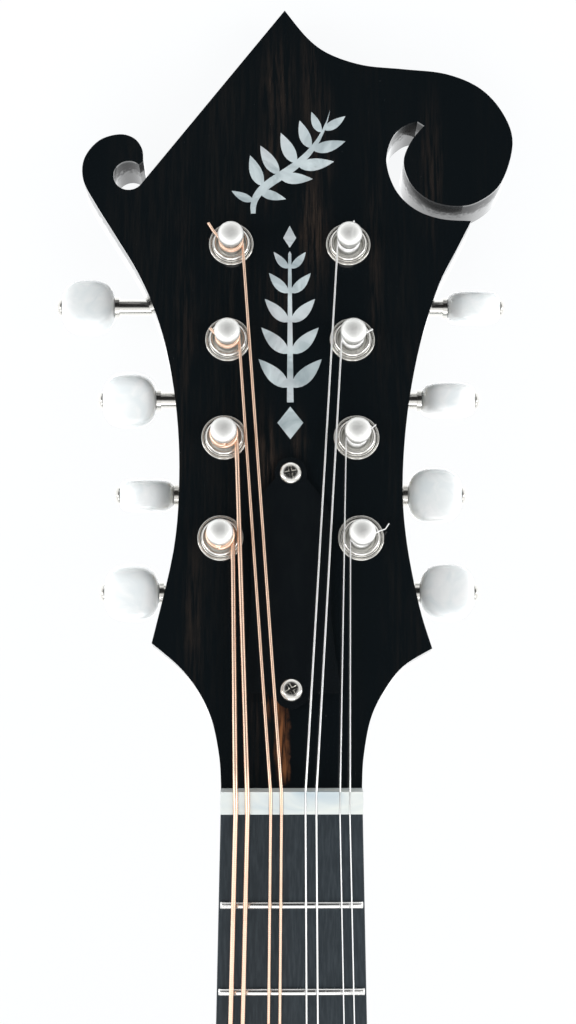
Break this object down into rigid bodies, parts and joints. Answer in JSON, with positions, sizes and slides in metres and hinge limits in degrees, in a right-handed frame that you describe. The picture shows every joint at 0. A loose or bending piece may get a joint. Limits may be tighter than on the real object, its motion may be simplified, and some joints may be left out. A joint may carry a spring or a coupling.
{
  "type": "mandolin",
  "caption": "Scroll-body mandolin with carved plates, geared tuners, pearl-inlaid headstock and an adjustable bridge.",
  "frame": {"origin": "where the strap-button axis meets the tail end, on the centreline", "axes": "+Y along the centreline toward the headstock, +X toward the treble side, +Z out of the soundboard"},
  "size_m": [0.2492, 0.6949, 0.1162],
  "materials": {
    "sunburst_spruce": "gloss lacquer",
    "sunburst_maple": "gloss lacquer",
    "inner_wood": "bare",
    "ivory_binding": "polished",
    "rod_steel": "plain",
    "black_headplate": "gloss lacquer",
    "pearl": "polished shell",
    "cover_black": "polished",
    "nickel": "polished",
    "ebony": "satin",
    "fret_wire": "polished",
    "nut_pearl": "polished",
    "satin_nickel": "satin",
    "gear_brass": "machined",
    "knob_pearl": "polished",
    "bronze_wound": "wound wire",
    "plain_steel": "drawn wire",
    "bridge_ebony": "satin",
    "brass": "polished"
  },
  "bodies": {
    "body": {"soundboard": "sunburst_spruce", "back_plate": "sunburst_maple", "ribs": "sunburst_maple", "linings": "inner_wood", "blocks": "inner_wood", "bindings": "ivory_binding", "neck": "sunburst_maple", "truss_rod": "rod_steel", "headplate": "black_headplate", "head_inlay": "pearl", "truss_rod_cover": "cover_black", "cover_screws": "nickel", "fingerboard": "ebony", "frets": "fret_wire", "nut": "nut_pearl", "tuner_bushings": "nickel", "tuner_plates": "nickel", "plate_screws": "nickel", "wound_strings": "bronze_wound", "plain_strings": "plain_steel", "bridge_base": "bridge_ebony", "bridge_studs": "brass", "tailpiece": "nickel", "strap_button": "ivory_binding"},
    "saddle": {"bridge_saddle": "bridge_ebony"},
    "wheel_bass": {"thumbwheel_bass": "brass"},
    "wheel_treble": {"thumbwheel_treble": "brass"},
    "tuner_b1": {"worm_b1": "nickel", "knob_b1": "knob_pearl"},
    "reel_b1": {"post_b1": "satin_nickel", "gear_b1": "gear_brass"},
    "tuner_b2": {"worm_b2": "nickel", "knob_b2": "knob_pearl"},
    "reel_b2": {"post_b2": "satin_nickel", "gear_b2": "gear_brass"},
    "tuner_b3": {"worm_b3": "nickel", "knob_b3": "knob_pearl"},
    "reel_b3": {"post_b3": "satin_nickel", "gear_b3": "gear_brass"},
    "tuner_b4": {"worm_b4": "nickel", "knob_b4": "knob_pearl"},
    "reel_b4": {"post_b4": "satin_nickel", "gear_b4": "gear_brass"},
    "tuner_t1": {"worm_t1": "nickel", "knob_t1": "knob_pearl"},
    "reel_t1": {"post_t1": "satin_nickel", "gear_t1": "gear_brass"},
    "tuner_t2": {"worm_t2": "nickel", "knob_t2": "knob_pearl"},
    "reel_t2": {"post_t2": "satin_nickel", "gear_t2": "gear_brass"},
    "tuner_t3": {"worm_t3": "nickel", "knob_t3": "knob_pearl"},
    "reel_t3": {"post_t3": "satin_nickel", "gear_t3": "gear_brass"},
    "tuner_t4": {"worm_t4": "nickel", "knob_t4": "knob_pearl"},
    "reel_t4": {"post_t4": "satin_nickel", "gear_t4": "gear_brass"}
  },
  "joints": [
    {"name": "knob_turn_b1", "type": "hinge", "parent": "body", "child": "tuner_b1", "pos_m": [-0.01345, 0.60857, -0.04037], "axis": [1, 0, 0], "continuous": true},
    {"name": "post_turn_b1", "type": "hinge", "parent": "body", "child": "reel_b1", "pos_m": [-0.01345, 0.62324, -0.02707], "axis": [0, 0.3502, 0.9367], "continuous": true},
    {"name": "knob_turn_b2", "type": "hinge", "parent": "body", "child": "tuner_b2", "pos_m": [-0.01414, 0.58701, -0.03231], "axis": [1, 0, 0], "continuous": true},
    {"name": "post_turn_b2", "type": "hinge", "parent": "body", "child": "reel_b2", "pos_m": [-0.01414, 0.60168, -0.019], "axis": [0, 0.3502, 0.9367], "continuous": true},
    {"name": "knob_turn_b3", "type": "hinge", "parent": "body", "child": "tuner_b3", "pos_m": [-0.01483, 0.56544, -0.02425], "axis": [1, 0, 0], "continuous": true},
    {"name": "post_turn_b3", "type": "hinge", "parent": "body", "child": "reel_b3", "pos_m": [-0.01483, 0.58011, -0.01094], "axis": [0, 0.3502, 0.9367], "continuous": true},
    {"name": "knob_turn_b4", "type": "hinge", "parent": "body", "child": "tuner_b4", "pos_m": [-0.01552, 0.54388, -0.01619], "axis": [1, 0, 0], "continuous": true},
    {"name": "post_turn_b4", "type": "hinge", "parent": "body", "child": "reel_b4", "pos_m": [-0.01552, 0.55855, -0.00288], "axis": [0, 0.3502, 0.9367], "continuous": true},
    {"name": "knob_turn_t1", "type": "hinge", "parent": "body", "child": "tuner_t1", "pos_m": [0.01345, 0.60857, -0.04037], "axis": [1, 0, 0], "continuous": true},
    {"name": "post_turn_t1", "type": "hinge", "parent": "body", "child": "reel_t1", "pos_m": [0.01345, 0.62324, -0.02707], "axis": [0, 0.3502, 0.9367], "continuous": true},
    {"name": "knob_turn_t2", "type": "hinge", "parent": "body", "child": "tuner_t2", "pos_m": [0.01414, 0.58701, -0.03231], "axis": [1, 0, 0], "continuous": true},
    {"name": "post_turn_t2", "type": "hinge", "parent": "body", "child": "reel_t2", "pos_m": [0.01414, 0.60168, -0.019], "axis": [0, 0.3502, 0.9367], "continuous": true},
    {"name": "knob_turn_t3", "type": "hinge", "parent": "body", "child": "tuner_t3", "pos_m": [0.01483, 0.56544, -0.02425], "axis": [1, 0, 0], "continuous": true},
    {"name": "post_turn_t3", "type": "hinge", "parent": "body", "child": "reel_t3", "pos_m": [0.01483, 0.58011, -0.01094], "axis": [0, 0.3502, 0.9367], "continuous": true},
    {"name": "knob_turn_t4", "type": "hinge", "parent": "body", "child": "tuner_t4", "pos_m": [0.01552, 0.54388, -0.01619], "axis": [1, 0, 0], "continuous": true},
    {"name": "post_turn_t4", "type": "hinge", "parent": "body", "child": "reel_t4", "pos_m": [0.01552, 0.55855, -0.00288], "axis": [0, 0.3502, 0.9367], "continuous": true},
    {"name": "saddle_height", "type": "slide", "parent": "body", "child": "saddle", "axis": [0, 0, 1], "range_m": [-0.0012, 0]},
    {"name": "wheel_turn_bass", "type": "hinge", "parent": "saddle", "child": "wheel_bass", "pos_m": [-0.03, 0.152, 0.0456], "axis": [0, 0, 1], "range_deg": [-617.2, 0]},
    {"name": "wheel_turn_treble", "type": "hinge", "parent": "saddle", "child": "wheel_treble", "pos_m": [0.03, 0.152, 0.0456], "axis": [0, 0, 1], "range_deg": [-617.2, 0]}
  ],
  "couplings": [
    {"joint": "post_turn_b1", "follows": "knob_turn_b1", "ratio": 0.055556},
    {"joint": "post_turn_b2", "follows": "knob_turn_b2", "ratio": 0.055556},
    {"joint": "post_turn_b3", "follows": "knob_turn_b3", "ratio": 0.055556},
    {"joint": "post_turn_b4", "follows": "knob_turn_b4", "ratio": 0.055556},
    {"joint": "post_turn_t1", "follows": "knob_turn_t1", "ratio": -0.055556},
    {"joint": "post_turn_t2", "follows": "knob_turn_t2", "ratio": -0.055556},
    {"joint": "post_turn_t3", "follows": "knob_turn_t3", "ratio": -0.055556},
    {"joint": "post_turn_t4", "follows": "knob_turn_t4", "ratio": -0.055556},
    {"joint": "wheel_turn_bass", "follows": "saddle_height", "rad_per_m": 8976},
    {"joint": "wheel_turn_treble", "follows": "saddle_height", "rad_per_m": 8976}
  ]
}
